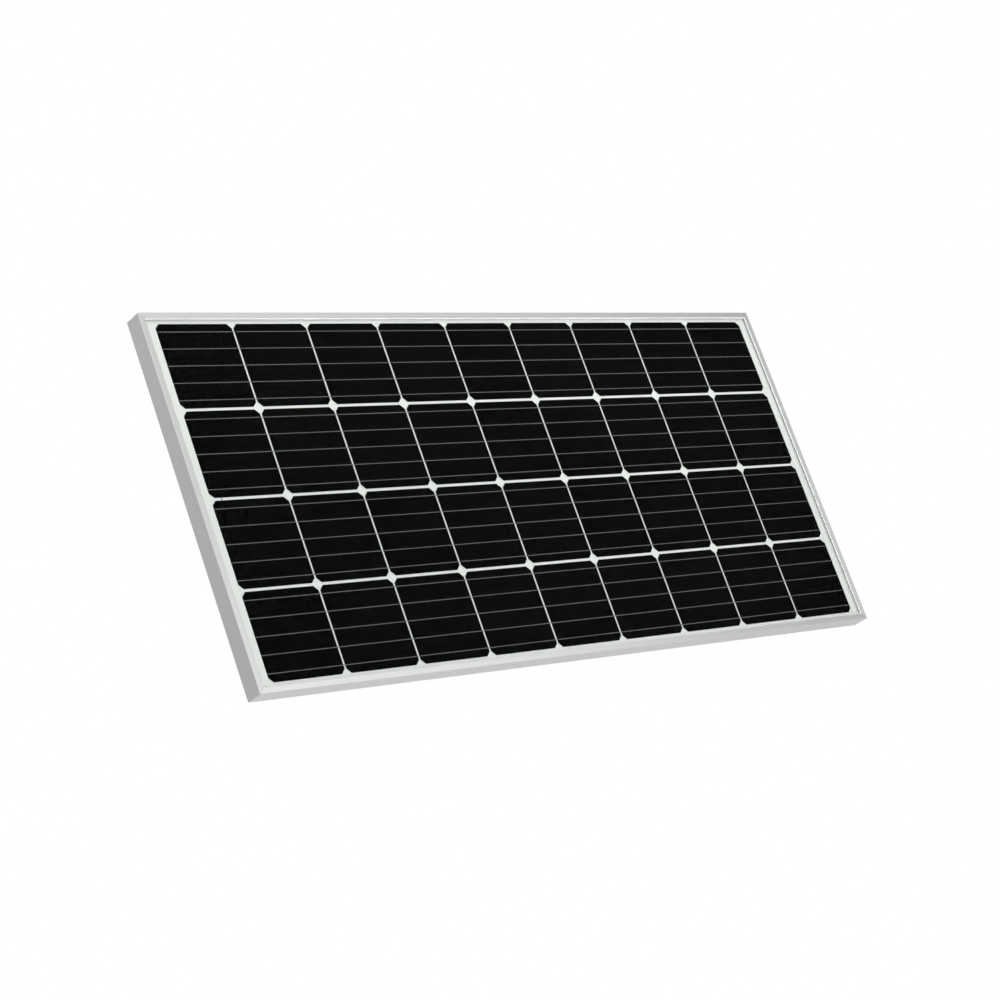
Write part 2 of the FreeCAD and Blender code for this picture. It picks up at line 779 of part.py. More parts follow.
def hinge_lugs():
    """Two lugs on the top wall, each a round with a web and a back block."""
    web_drop = 6.0
    web_start = 0.9
    web_short = 0.4
    block_drop = 8.0
    block_below = 0.8
    block_bite = 1.5
    block_out = 1.0
    radius = dim.knuckle_radius
    under_y = hinge_y - radius
    lugs = []
    for n, (start, end) in enumerate(((-dim.lug_outer, -dim.lug_inner),
                                      (dim.lug_inner, dim.lug_outer))):
        x0, x1 = box_mid + start, box_mid + end
        lugs += [
            rod("lug_round_%d" % n, radius, x0, hinge_y, hinge_z, x1 - x0),
            box("lug_web_%d" % n, x0, x1, under_y - web_drop, hinge_y,
                box_half + web_start, hinge_z + radius - web_short),
            box("lug_back_%d" % n, x0, x1, under_y - block_drop,
                under_y - block_below, box_half - block_bite,
                hinge_z + block_out)]
    return lugs


def terminal_posts():
    """A round post and a rib under each terminal plate."""
    rib_x0 = box_mid + 2
    rib_x1 = box_mid + 10
    rib_half = 5
    y0 = floor_y1 - EMBED
    y1 = plate_y0 - dim.layer_gap
    posts = []
    for lane, z in lanes:
        posts += [
            rod("post_" + lane, dim.post_radius, post_x, y0, z, y1 - y0, "Y"),
            box("rib_" + lane, rib_x0, rib_x1, y0, y1, *around(z, rib_half))]
    return posts


def wall_details():
    """Gland bosses, lower catches and ribs on the outside of the walls."""
    boss_bite = 1.5
    boss_pad_out = 2.0
    boss_pad_y = (gland_y - 11.0, gland_y + 8.3)
    boss_pad_half = 12
    details = []
    for side in (-1, 1):
        z = dim.tail_lane * side
        details += [
            rod("boss_%d" % side, dim.boss_radius, box_x1 - boss_bite, gland_y,
                z, dim.boss_long + boss_bite),
            box("boss_pad_%d" % side, box_x1 - EMBED, box_x1 + boss_pad_out,
                *boss_pad_y, *around(z, boss_pad_half))]
    catch_half = 5
    catch_out = 0.9
    for side in (-1, 1):
        details.append(box(
            "catch_%d" % side,
            *around(box_mid + dim.catch_offset * side, catch_half),
            rim_y - 6, rim_y - 3, -box_half - catch_out, -box_half + EMBED))
    rib_pitch = 20.0
    rib_out = 1.0
    rib_half = 1.0
    for n in (-2, -1, 0, 1, 2):
        details.append(box("side_rib_%d" % n, box_x0 - rib_out, box_x0 + EMBED,
                           floor_y0, rim_y - 3.0, *around(rib_pitch * n, rib_half)))
    return details


def box_holes():
    """Screw holes, lead holes, tail window, pin bore and knuckle room."""
    holes = [rod("post_hole_" + lane, dim.screw_hole, post_x, floor_y1 + 0.2, z,
                 8, "Y") for lane, z in lanes]
    lead_clearance = 0.2
    for side in (-1, 1):
        holes.append(rod("boss_hole_%d" % side, dim.cable_radius + lead_clearance,
                         box_x1 - 10, gland_y, dim.tail_lane * side,
                         dim.boss_long + 20))
    bore_half = 40
    room_y = (hinge_y - 4.6, hinge_y + 6)
    room_z = (box_half - 2.0, hinge_z + 6)
    holes += [
        box("tail_window", dim.window_left, dim.window_left + dim.window_long,
            floor_y0 - OVERCUT, floor_y1 + 0.6, -dim.window_half, dim.window_half),
        rod("pin_bore", dim.pin_radius + dim.pin_hold, box_mid - bore_half,
            hinge_y, hinge_z, bore_half * 2),
        box("knuckle_room", *around(box_mid, dim.lug_inner), *room_y, *room_z)]
    return holes


def junction_box_base():
    solid = fuse("junction_box_solid",
                 [box_tray()] + hinge_lugs() + terminal_posts() + wall_details())
    keep(cut("junction_box_base", solid, box_holes()))


def junction_box_gasket():
    """A flat ring between rim and lid; its top side stops short of the hinge."""
    y0 = rim_y + dim.layer_gap
    y1 = lid_y0 - dim.layer_gap
    wide = dim.gasket_wide
    inset = (dim.box_wall - wide) / 2
    bottom_shift = 0.2
    top_z = box_half - 2.2
    top_thin = 0.9
    ring = box("gasket_block", box_x0 + inset, box_x1 - inset, y0, y1,
               -box_half + inset + bottom_shift, top_z)
    hole = box("gasket_hole", box_x0 + inset + wide, box_x1 - inset - wide,
               y0 - OVERCUT, y1 + OVERCUT, -box_half + inset + wide,
               top_z - wide + top_thin)
    keep(cut("junction_box_gasket", ring, [hole]))


def lid_plate():
    body = new_body("lid_plate")
    sketch = sketch_on(body, "lid_outline", "XZ_Plane")
    polygon(sketch, rectangle(box_x0, box_x1, -box_half - 0.5, box_half + 0.4))
    feature = pad(body, sketch, dim.lid_thick, "lid_sheet", reverse=True)
    feature = soften(body, feature, dim.box_round, "lid_round", runs_along_y)
    top = dim.lid_thick.number
    soften(body, feature, dim.lid_edge_round, "lid_edge", lambda edge: all(
        abs(v.Point.y - top) < 1e-6 for v in edge.Vertexes))
    place(body, 0, lid_y0, 0)
    return body


def lid_tongue():
    """A rectangular ring that stands into the tray."""
    outer = dim.box_wall + dim.tongue_gap
    inner = outer + dim.tongue_wall
    y0 = lid_y0 - dim.tongue
    block = box("tongue_block", box_x0 + outer, box_x1 - outer, y0,
                lid_y0 + EMBED, -box_half + outer, box_half - outer)
    hole = box("tongue_hole", box_x0 + inner, box_x1 - inner, y0 - OVERCUT,
               lid_y0, -box_half + inner, box_half - inner)
    return cut("lid_tongue", block, [hole])


def junction_box_lid():
    knuckle_x = around(box_mid, dim.knuckle_half)
    parts = [
        lid_plate(), lid_tongue(),
        rod("lid_knuckle", dim.knuckle_radius, knuckle_x[0], hinge_y, hinge_z,
            dim.knuckle_half * 2),
        box("lid_web", *knuckle_x, lid_y0, lid_y1, box_half - 1.0, hinge_z)]
    # two tabs over the bottom wall
    tab_half = 6
    tab_drop = 8.0
    tab_top = lid_y1 - 1.2
    tab_outer = -box_half - 2.6
    tab_inner = -box_half - 1.2
    root_inner = -box_half + 2.0
    for side in (-1, 1):
        tab_x = around(box_mid + dim.catch_offset * side, tab_half)
        parts += [
            box("lid_tab_%d" % side, *tab_x, lid_y0 - tab_drop, tab_top,
                tab_outer, tab_inner),
            box("lid_tab_root_%d" % side, *tab_x, lid_y0, tab_top,
                tab_outer, root_inner)]
    # raised panel on the lid's outside
    panel_half_x = 36
    panel_half_z = 42
    panel_rise = 0.6
    parts.append(box("lid_panel", *around(box_mid, panel_half_x),
                     lid_y1 - EMBED, lid_y1 + panel_rise,
                     -panel_half_z, panel_half_z))
    bore_half = 20
    keep(cut("junction_box_lid", fuse("junction_box_lid_solid", parts), [
        rod("lid_bore", dim.pin_radius + dim.pin_run, box_mid - bore_half,
            hinge_y, hinge_z, bore_half * 2)]))


def junction_box_hinge_pin():
    keep(rod("junction_box_hinge_pin", dim.pin_radius, box_mid - dim.pin_half,
             hinge_y, hinge_z, dim.pin_half * 2))


# ---------------------------------------------------------------- terminals
def terminal(lane, z):
    """A plate on its post; the two outer ones carry a bored clamp block."""
    riser_clearance = 0.05
    end_x = box_mid + dim.plate_end
    parts = [box("plate_" + lane, tail_x + dim.bus_thick + riser_clearance, end_x,
                 plate_y0, plate_y1, *around(z, dim.plate_half))]
    tools = [rod("plate_hole_" + lane, dim.screw_hole, post_x,
                 plate_y0 - OVERCUT, z, 4, "Y")]
    if lane != "mid_tap":
        clamp_top = gland_y + 3.4
        clamp_half = 4.5
        clamp_bore = 1.55
        parts.append(box("clamp_" + lane, box_mid + dim.clamp_start, end_x,
                         plate_y1, clamp_top, *around(z, clamp_half)))
        tools.append(rod("clamp_bore_" + lane, clamp_bore, box_mid, gland_y, z,
                         20))
    keep(cut("terminal_" + lane, fuse("terminal_solid_" + lane, parts), tools))


def terminal_screws():
    head_tall = 2.4
    shank_drop = 4.0
    shank_long = 4.2
    drive_y = (plate_y1 + 1.4, plate_y1 + 3)
    drive_long = 4    # half the length of the cross drive's slots
    drive_wide = 0.5  # half their width
    screws = []
    for lane, z in lanes:
        solid = fuse("screw_solid_" + lane, [
            rod("screw_head_" + lane, dim.screw_head, post_x,
                plate_y1 + dim.layer_gap, z, head_tall, "Y"),
            rod("screw_shank_" + lane, dim.screw_radius, post_x,
                plate_y1 - shank_drop, z, shank_long, "Y")])
        screws.append(cut("screw_" + lane, solid, [
            box("screw_drive_" + lane, *around(post_x, drive_long), *drive_y,
                *around(z, drive_wide)),
            box("screw_cross_" + lane, *around(post_x, drive_wide), *drive_y,
                *around(z, drive_long))]))
    keep(group("terminal_screws", screws))


def bypass_diode(n, z):
    """A diode whose leads bridge two terminal plates."""
    x = box_mid - dim.diode_offset
    y = plate_y1 + dim.diode_lead + dim.layer_gap
    keep(fuse("bypass_diode_%d" % n, [
        rod("diode_body_%d" % n, dim.diode_radius, x, y, z - dim.diode_long / 2,
            dim.diode_long, "Z"),
        rod("diode_lead_%d" % n, dim.diode_lead, x, y, z - dim.diode_span / 2,
            dim.diode_span, "Z")]))


# ---------------------------------------------------------------- glands
def gland_nut(side):
    """A hexagonal nut over a boss, with its outer corners turned off."""
    name = "gland_nut_" + ("low" if side < 0 else "high")
    x0 = box_x1 + dim.boss_long - 5.0
    z = dim.tail_lane * side
    body = new_body(name)
    sketch = sketch_on(body, name + "_flats", "YZ_Plane")
    flat = dim.nut_across / 2
    corner = flat / math.cos(math.pi / 6)
    polygon(sketch, [(corner * math.cos(math.radians(60 * k)),
                      corner * math.sin(math.radians(60 * k))) for k in range(6)])
    pad(body, sketch, dim.nut_long, name + "_block")

    crown_start = dim.nut_long - 4.5
    crown_end = dim.nut_long + OVERCUT
    outside = flat + 2.5
    mouth = flat - 3.2
    sketch = sketch_on(body, name + "_crown", "XY_Plane")
    polygon(sketch, [(crown_start, outside), (crown_start, flat + 0.2),
                     (dim.nut_long, mouth), (crown_end, mouth),
                     (crown_end, outside)])
    turn(body, sketch, name + "_crown_cut", "Groove")
    place(body, x0, gland_y, z)
    return cut("gland_nut_bored_%d" % side, body, [
        rod("nut_bore_%d" % side, dim.boss_radius + 0.1, x0 - OVERCUT, gland_y, z,
            dim.nut_long - 2.0),
        rod("nut_mouth_%d" % side, dim.cable_radius + 0.4, x0, gland_y, z,
            dim.nut_long + 2)])


def gland_seal(side):
    x = box_x1 + dim.boss_long + 0.2
    z = dim.tail_lane * side
    return cut("gland_seal_%d" % side,
               rod("seal_out_%d" % side, dim.gland_seal_radius, x, gland_y, z,
                   8.3),
               [rod("seal_in_%d" % side, dim.cable_radius + 0.05, x - OVERCUT,
                    gland_y, z, 12)])


def cable_stub(side):
    """Straight cable from inside the box to just short of the lead."""
    x = box_x1 - 24
    return rod("stub_%d" % side, dim.cable_radius, x, gland_y,
               dim.tail_lane * side, dim.pivot_x - 4.5 - x)


def cable_conductor(side):
    return rod("core_%d" % side, dim.core_radius, box_x1 - 44, gland_y,
               dim.tail_lane * side, 19.9)


def cable_glands():
    for name, make in (("cable_gland_nuts", gland_nut),
                       ("cable_gland_seals", gland_seal),
                       ("cable_stubs", cable_stub),
                       ("cable_conductors", cable_conductor)):
        keep(group(name, [make(side) for side in (-1, 1)]))


# ---------------------------------------------------------------- leads
def lead_cable(name, start_z, end_x, end_z, leaving, crossing, arriving):
    """A round cable along a smooth curve, starting with a ball end.

    The first and last four control points lie in line along X, so both ends
    are straight.  The rest are (x, z) offsets: `leaving` from the start,
    `crossing` from the start's x and the end's z, `arriving` from the end.
    """
    radius = SIZES["cable_radius"]
    start_x = SIZES["pivot_x"]
    start_y = gland_y.number
    low_y = back_y.number + radius + 1.4
    end_y = -SIZES["lead_level"]

    points = [(start_x + x, start_y, start_z) for x in (0, 6, 14, 30)]
    leaving_y = [start_y - 4.0, low_y, low_y, low_y]
    points += [(start_x + x, y, start_z + z)
               for (x, z), y in zip(leaving, leaving_y)]
    points += [(start_x + x, low_y, end_z + z) for x, z in crossing]
    points += [(end_x + arriving[0], low_y, end_z + arriving[1]),
               (end_x - 78, low_y, end_z), (end_x - 46, end_y - 1.0, end_z)]
    points += [(end_x + x, end_y, end_z) for x in (-22, -8, 10, 25)]

    curve = Part.BSplineCurve()
    curve.buildFromPoles([Vector(*point) for point in points], False, 3)
    path = Part.Wire([curve.toShape()])
    start = Vector(*points[0])
    ring = Part.Wire([Part.makeCircle(radius, start, Vector(1, 0, 0))])
    pipe = path.makePipeShell([ring], True, False)
    shape = pipe.fuse(Part.makeSphere(radius, start)).removeSplitter()
    # a fusion may come wrapped in a compound
    if len(shape.Solids) == 1:
        shape = shape.Solids[0]
    cable = doc.addObject("Part::Feature", name)
    cable.Shape = shape
    keep(cable)


def lead_cables():
    lane = SIZES["tail_lane"]
    lead_cable("cable_positive", lane, SIZES["lead_pos_x"], SIZES["lead_pos_z"],
               leaving=[(70, 3), (110, 14), (170, 48), (250, 76)],
               crossing=[(360, 9.0), (500, -7.0)], arriving=(-130, -2.0))
    lead_cable("cable_negative", -lane, SIZES["lead_neg_x"], SIZES["lead_neg_z"],
               leaving=[(72, -2), (115, -12), (180, -44), (262, -76)],
               crossing=[(372, -10.0), (500, 4.0)], arriving=(-130, 3.0))


# ---------------------------------------------------------------- connectors
# Profiles are (x, radius) stations, x from the cable end of the connector.
cable_fit = dim.cable_radius + 0.2
seal_fit = dim.cable_radius + 0.05
CAP = [(0, cable_fit), (0, 7.2), (2.2, 9.4), (20, 9.4), (20, 7.7), (3, 7.7),
       (3, cable_fit)]
SEAL = [(9, seal_fit), (9, 5.9), (19, 5.9), (19, seal_fit)]
BARREL_REAR = [(8, 6.0), (8, 7.5), (20.3, 7.5), (20.3, 9.4), (25, 9.4)]
BARREL_NOSE = {
    "positive": [(27, 8.2), (41, 8.2), (43, 6.2), (59, 6.2), (60, 5.4), (60, 2.6)],
    "negative": [(27, 8.4), (60.4, 8.4), (61, 7.8), (61, 6.6), (44, 6.6),
                 (44, 2.6)],
}
BARREL_BORE = [(26, 2.6), (26, cable_fit), (20, cable_fit), (20, 6.0)]
CONTACT = {
    "positive": [(25.2, 0), (25.2, 2.5), (56, 2.5), (57, 2.0), (57, 1.5),
                 (40, 1.5), (40, 0)],
    "negative": [(25.2, 0), (25.2, 2.5), (44, 2.5), (44, 1.5), (56, 1.5),
                 (57.5, 0.6), (57.5, 0)],
}


def turned(name, profile, x, y, z):
    body = new_body(name)
    sketch = sketch_on(body, name + "_half", "XY_Plane")
    polygon(sketch, profile)
    turn(body, sketch, name + "_turned")
    place(body, x, y, z)
    return body


def connector_nut(prefix, x, y, z):
    """A cap nut over the rear of the body, with twelve grip flutes."""
    flute_count = 12
    flute_radius = 1.1
    flute_circle = 9.9
    flute_start = 4.0
    flute_long = 17
    cap = turned(prefix + "cap", CAP, x, y, z)
    flutes = []
    for k in range(flute_count):
        angle = math.radians(360 / flute_count * k)
        flutes.append(rod(prefix + "flute_%d" % k, flute_radius, x + flute_start,
                          y + flute_circle * math.cos(angle),
                          z + flute_circle * math.sin(angle), flute_long))
    keep(cut(prefix + "nut", cap, flutes))


def connector_body(prefix, sign, x, y, z):
    """A barrel; the positive one has barbed legs, the negative one windows."""
    profile = BARREL_REAR + BARREL_NOSE[sign] + BARREL_BORE
    barrel = turned(prefix + "barrel", profile, x, y, z)
    if sign == "positive":
        leg_y = around(y, 2.2)
        legs = []
        for side in (-1, 1):
            legs += [
                box(prefix + "leg_%d" % side, x + 39, x + 57, *leg_y,
                    *around(z + 8.0 * side, 0.8)),
                box(prefix + "barb_%d" % side, x + 51, x + 57, *leg_y,
                    *around(z + 8.4 * side, 1.2))]
        keep(fuse(prefix + "body", [barrel] + legs))
    else:
        window = box(prefix + "window", x + 48, x + 54, *around(y, 2.6),
                     *around(z, 10))
        keep(cut(prefix + "body", barrel, [window]))


def connector(sign, x, z):
    prefix = "connector_%s_" % sign
    y = -dim.lead_level
    connector_nut(prefix, x, y, z)
    connector_body(prefix, sign, x, y, z)
    keep(turned(prefix + "seal", SEAL, x, y, z))
    keep(turned(prefix + "contact", CONTACT[sign], x, y, z))


def rating_label():
    """A blank label on the backsheet."""
    x0 = box_x1 + dim.label_along
    y0 = back_y + dim.layer_gap
    z0 = box_half + dim.label_up
    keep(box("rating_label", x0, x0 + dim.label_long, y0, y0 + dim.label_thick,
             z0, z0 + dim.label_high))


# ---------------------------------------------------------------- assembly
frame_rails()
corner_key("corner_key_bottom_left", 0, -1, -1)
corner_key("corner_key_bottom_right", -90, 1, -1)
corner_key("corner_key_top_right", 180, 1, 1)
corner_key("corner_key_top_left", 90, -1, 1)
frame_sealant()

front_glass()
eva_front()
sheet_with_slits("eva_back", *eva_back_y)
sheet_with_slits("backsheet", *backsheet_y)
for string in range(STRINGS):
    cell_string(string)
    tabbing_ribbons(string)
bus_ribbons()
bus_insulation_film()
end_cover_strips()

junction_box_adhesive()
junction_box_base()
junction_box_gasket()
junction_box_lid()
junction_box_hinge_pin()
for lane_name, lane_z in lanes:
    terminal(lane_name, lane_z)
terminal_screws()
bypass_diode(1, dim.tail_lane / 2)
bypass_diode(2, -dim.tail_lane / 2)

cable_glands()
lead_cables()
connector("positive", dim.lead_pos_x, dim.lead_pos_z)
connector("negative", dim.lead_neg_x, dim.lead_neg_z)
rating_label()

# ---------------------------------------------------------------- export
doc.recompute()
failed = [obj.Name for obj in doc.Objects
          if any(state in ("Invalid", "Error") for state in obj.State)]
assert not failed, "failed objects: %s" % failed
for piece in pieces:
    assert piece.Shape.isValid() and piece.Shape.Solids, piece.Label
os.makedirs("parts", exist_ok=True)
for piece in pieces:
    piece.Shape.exportStep("parts/%s.step" % piece.Label)
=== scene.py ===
"""A framed solar panel with its junction box and two leads, on a studio floor.

Units are metres unless a name says otherwise.  X runs to the right seen from
the front, Z runs up, and the glass faces -Y.  The junction box and the leads
are behind the laminate, on its +Y side.
"""

import math

import bpy
import bmesh
from mathutils import Matrix, Vector

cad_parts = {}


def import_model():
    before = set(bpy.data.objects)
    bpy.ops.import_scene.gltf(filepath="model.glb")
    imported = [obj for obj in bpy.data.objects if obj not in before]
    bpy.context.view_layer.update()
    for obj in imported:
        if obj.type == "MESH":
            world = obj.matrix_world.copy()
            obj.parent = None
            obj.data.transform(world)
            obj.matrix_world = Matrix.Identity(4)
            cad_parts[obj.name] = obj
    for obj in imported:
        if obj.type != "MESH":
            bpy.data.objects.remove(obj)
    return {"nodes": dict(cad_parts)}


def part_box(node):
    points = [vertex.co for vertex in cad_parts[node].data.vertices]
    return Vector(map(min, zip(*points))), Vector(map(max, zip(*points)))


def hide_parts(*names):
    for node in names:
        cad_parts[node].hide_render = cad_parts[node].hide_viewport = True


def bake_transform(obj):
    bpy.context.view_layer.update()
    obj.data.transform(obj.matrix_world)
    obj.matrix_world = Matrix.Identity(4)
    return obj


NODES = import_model()["nodes"]
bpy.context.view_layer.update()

MM = 0.001

# Wafer grid, read from the CAD cell strings
COLUMNS = 9
top_lo, top_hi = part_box("cell_string_1")
second_lo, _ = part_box("cell_string_2")
bottom_lo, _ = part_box("cell_string_4")
CELL_Y = top_lo.y
WAFER = top_hi.z - top_lo.z                    # side of a wafer
PITCH_X = (top_hi.x - top_lo.x - WAFER) / (COLUMNS - 1)
PITCH_Z = top_lo.z - second_lo.z
GRID_LEFT = top_lo.x
GRID_BOTTOM = bottom_lo.z
FINGER_PITCH = 0.00158
RIBBON_INSET = 0.01485                         # wafer edge to first ribbon
RIBBON_PITCH = (WAFER - 2 * RIBBON_INSET) / 4


# ------------------------------------------------------------------ node tools
class Net:
    """Short helpers for writing shader node trees in code."""

    def __init__(self, tree):
        self.tree = tree
        tree.nodes.clear()

    def new(self, kind, settings=None, by_index=None, **inputs):
        """Adds a node; in input names an underscore stands for a space."""
        node = self.tree.nodes.new(kind)
        for key, value in (settings or {}).items():
            setattr(node, key, value)
        for key, value in (by_index or {}).items():
            self.feed(node.inputs[key], value)
        for key, value in inputs.items():
            self.feed(node.inputs[key.replace("_", " ")], value)
        return node

    def feed(self, socket, value):
        if isinstance(value, bpy.types.NodeSocket):
            self.tree.links.new(value, socket)
        else:
            socket.default_value = value

    def math(self, operation, *operands, clamp=False):
        return self.new("ShaderNodeMath", {"operation": operation, "use_clamp": clamp},
                        dict(enumerate(operands))).outputs[0]

    def add(self, a, b, clamp=False):
        return self.math("ADD", a, b, clamp=clamp)

    def sub(self, a, b, clamp=False):
        return self.math("SUBTRACT", a, b, clamp=clamp)

    def mul(self, a, b):
        return self.math("MULTIPLY", a, b)

    def swing(self, noise, by):
        """Noise centred on zero and scaled."""
        return self.mul(self.sub(noise, 0.5), by)

    def vary(self, level, noise, by):
        return self.add(level, self.swing(noise, by))

    def off(self, value, centre):
        """Distance from a centre."""
        return self.math("ABSOLUTE", self.sub(value, centre))

    def inset(self, value, length):
        """Distance to the nearer end of the span 0..length."""
        return self.math("MINIMUM", value, self.sub(length, value))

    def vector_math(self, operation, *operands):
        return self.new("ShaderNodeVectorMath", {"operation": operation},
                        dict(enumerate(operands))).outputs["Value"]

    def ramp(self, value, start, end, low=0.0, high=1.0, smooth=True):
        kind = "SMOOTHSTEP" if smooth else "LINEAR"
        return self.new("ShaderNodeMapRange", {"interpolation_type": kind, "clamp": True},
                        dict(enumerate((value, start, end, low, high)))).outputs[0]

    def mix(self, factor, first, second):
        first, second = (c + (1.0,) if isinstance(c, tuple) else c
                         for c in (first, second))
        return self.new("ShaderNodeMix", {"data_type": "RGBA"},
                        {0: factor, 6: first, 7: second}).outputs[2]

    def mix_shaders(self, factor, first, second):
        return self.new("ShaderNodeMixShader", None,
                        {0: factor, 1: first.outputs[0], 2: second.outputs[0]})

    def xyz(self, vector):
        return self.new("ShaderNodeSeparateXYZ", None, {0: vector}).outputs[:3]

    def noise(self, scale=1.0, detail=2.0, rough=0.5, stretch=None):
        """Noise in object space, from a material's self.place."""
        place = self.place
        if stretch:
            place = self.new("ShaderNodeMapping", Vector=place, Scale=stretch).outputs[0]
        return self.new("ShaderNodeTexNoise", Vector=place, Scale=scale,
                        Detail=detail, Roughness=rough).outputs[0]

    def bump(self, height, distance, strength=1.0, **normal):
        return self.new("ShaderNodeBump", Height=height, Distance=distance,
                        Strength=strength, **normal).outputs[0]

    def bevel(self, radius):
        return self.new("ShaderNodeBevel", {"samples": 4}, Radius=radius).outputs[0]

    def edge(self, bevel_normal):
        """0 on flats, towards 1 on rounded edges."""
        geometry = self.new("ShaderNodeNewGeometry")
        facing = self.vector_math("DOT_PRODUCT", bevel_normal, geometry.outputs["Normal"])
        return self.ramp(facing, start=0.995, end=0.85)

    def out(self, shader):
        self.new("ShaderNodeOutputMaterial", Surface=shader.outputs[0])

    def principled(self, **inputs):
        self.out(self.new("ShaderNodeBsdfPrincipled", **inputs))


def material(name):
    made = bpy.data.materials.new(name)
    made.use_nodes = True
    net = Net(made.node_tree)
    net.place = net.new("ShaderNodeTexCoord").outputs["Object"]
    return made, net


def scaled(colour, gain):
    return tuple(min(1.0, c * gain) for c in colour)


def named(*starts, ends=("",)):
    return [name for name in NODES if name.startswith(starts) and name.endswith(ends)]


def dress(surface, *names):
    """Puts a material in every slot of the named pieces."""
    for name in names:
        slots = NODES[name].data.materials
        if not slots:
            slots.append(surface)
        for i in range(len(slots)):
            slots[i] = surface


# ------------------------------------------------------------------ materials
def aluminium(name, axis):
    """Clear-anodised extrusion: die lines along its length, satin, with
    smoother edges, which are lightened by a painted highlight."""
    made, net = material(name)
    base = (0.752, 0.75, 0.742)
    # near-white colour of the painted highlight on the rounded edges
    edge_highlight_colour = (0.93, 0.935, 0.945)

    def stretch(along, across):
        if axis == "x":
            return (along, across, across)
        return (across, across, along)

    lines = net.noise(detail=4.0, rough=0.62, stretch=stretch(along=2.2, across=650.0))
    broad = net.noise(stretch=stretch(along=0.9, across=90.0))
    cloud = net.noise(scale=7.0, detail=3.0, rough=0.55)
    speck = net.noise(scale=2600.0, detail=1.0)
    tone = net.vary(net.swing(lines, by=0.10), broad, by=0.05)
    tone = net.vary(tone, cloud, by=0.06)
    contrast = 3.0
    colour = net.mix(net.add(0.5, net.mul(tone, contrast), clamp=True),
                     scaled(base, gain=0.86), scaled(base, gain=1.12))
    bevel = net.bevel(radius=0.0006)
    edge = net.edge(bevel)
    # painted highlight: rounded edges are lightened towards a near-white colour for the light
    # they catch; the lower roughness there is real
    edge_highlight_share, edge_polish = 0.5, 0.08
    colour = net.mix(net.mul(edge, edge_highlight_share), colour, edge_highlight_colour)
    rough = net.vary(0.36, lines, by=0.22)
    rough = net.vary(rough, cloud, by=0.10)
    rough = net.sub(rough, net.mul(edge, edge_polish), clamp=True)
    speck_height = 0.35
    height = net.add(lines, net.mul(speck, speck_height))
    # die lines spread a reflection across themselves, not along
    tangent = net.new("ShaderNodeCombineXYZ", X=1.0 if axis == "x" else 0.0, Y=0.0,
                      Z=0.0 if axis == "x" else 1.0)
    net.principled(Base_Color=colour, Metallic=0.85, Roughness=rough,
                   Normal=net.bump(height, distance=0.00002, strength=0.6, Normal=bevel),
                   Tangent=tangent.outputs[0], Anisotropic=0.7, Anisotropic_Rotation=0.25)
    return made


def plastic(name, base, rough=0.46, texture=3200.0):
    """Moulded plastic with spark texture; its rounded edges are smoother and lightened by a
    painted highlight.
    """
    made, net = material(name)
    fine = net.noise(scale=texture, rough=0.6)
    cloud = net.noise(scale=38.0, detail=3.0, rough=0.55)
    bevel = net.bevel(radius=0.0007)
    edge = net.edge(bevel)
    colour = net.mix(cloud, scaled(base, gain=0.65), scaled(base, gain=1.35))
    # painted highlight: rounded edges are lifted towards a lighter tone for the light they
    # catch; the lower roughness there is real
    edge_highlight_share, highlight_lift, edge_polish = 0.35, 0.06, 0.10
    plastic_highlight_colour = tuple(min(1.0, c + highlight_lift) for c in base)
    colour = net.mix(net.mul(edge, edge_highlight_share), colour, plastic_highlight_colour)
    rough = net.vary(rough, fine, by=0.16)
    rough = net.sub(rough, net.mul(edge, edge_polish), clamp=True)
    net.principled(Base_Color=colour, Roughness=rough,
                   Normal=net.bump(fine, distance=0.00004, strength=0.5, Normal=bevel))
    return made


def metal(name, base, rough, scale=1.0, stretch=None):
    made, net = material(name)
    fine = net.noise(scale=scale, detail=3.0, rough=0.6, stretch=stretch)
    cloud = net.noise(scale=60.0)
    average = net.mul(net.add(fine, cloud), 0.5)
    colour = net.mix(average, scaled(base, gain=0.9), scaled(base, gain=1.1))
    net.principled(Base_Color=colour, Metallic=0.95,
                   Roughness=net.vary(rough, fine, by=0.2),
                   Normal=net.bump(fine, distance=0.00003, strength=0.5,
                                   Normal=net.bevel(radius=0.0003)))
    return made


def clear(net, scale, dark, light):
    """A transparent shader with a faint tint."""
    tint = net.mix(net.noise(scale=scale, detail=1.0), dark, light)
    return net.new("ShaderNodeBsdfTransparent", Color=tint)


def glass():
    """Coated solar glass: clear, faintly green, mirror-like only at a grazing
    angle and only on its outer side."""
    made, net = material("solar_glass")
    body = clear(net, scale=2.0, dark=(0.981, 0.989, 0.982), light=(0.986, 0.993, 0.987))
    weight = net.new("ShaderNodeLayerWeight", Blend=0.5)
    grazing = net.ramp(weight.outputs["Facing"], start=0.40, end=1.0)
    falloff, strongest = 3.0, 0.85
    sheen = net.mul(net.math("POWER", grazing, falloff), strongest)
    geometry = net.new("ShaderNodeNewGeometry")
    sheen = net.mul(sheen, net.sub(1.0, geometry.outputs["Backfacing"]))
    pebble = net.noise(scale=1400.0, detail=1.0)
    smoothest, pebble_rough = 0.07, 0.04
    gloss = net.new("ShaderNodeBsdfGlossy", Color=(0.93, 0.96, 1.0, 1.0),
                    Roughness=net.add(smoothest, net.mul(pebble, pebble_rough)),
                    Normal=net.bump(pebble, distance=0.00001, strength=0.25))
    net.out(net.mix_shaders(sheen, body, gloss))
    return made


def clear_film():
    made, net = material("clear_encapsulant")
    net.out(clear(net, scale=3.0, dark=(0.992, 0.996, 0.992), light=(0.998, 0.999, 0.996)))
    return made


def wafer_grid(net, x, z):
    """Place counted in wafers from the grid's lower left corner."""
    return (net.math("DIVIDE", net.sub(x, GRID_LEFT), PITCH_X),
            net.math("DIVIDE", net.sub(z, GRID_BOTTOM), PITCH_Z))


def in_wafer(net, across, up):
    """Metres from the lower left corner of the wafer at this grid place."""
    return (net.mul(net.math("FRACT", across), PITCH_X),
            net.mul(net.math("FRACT", up), PITCH_Z))


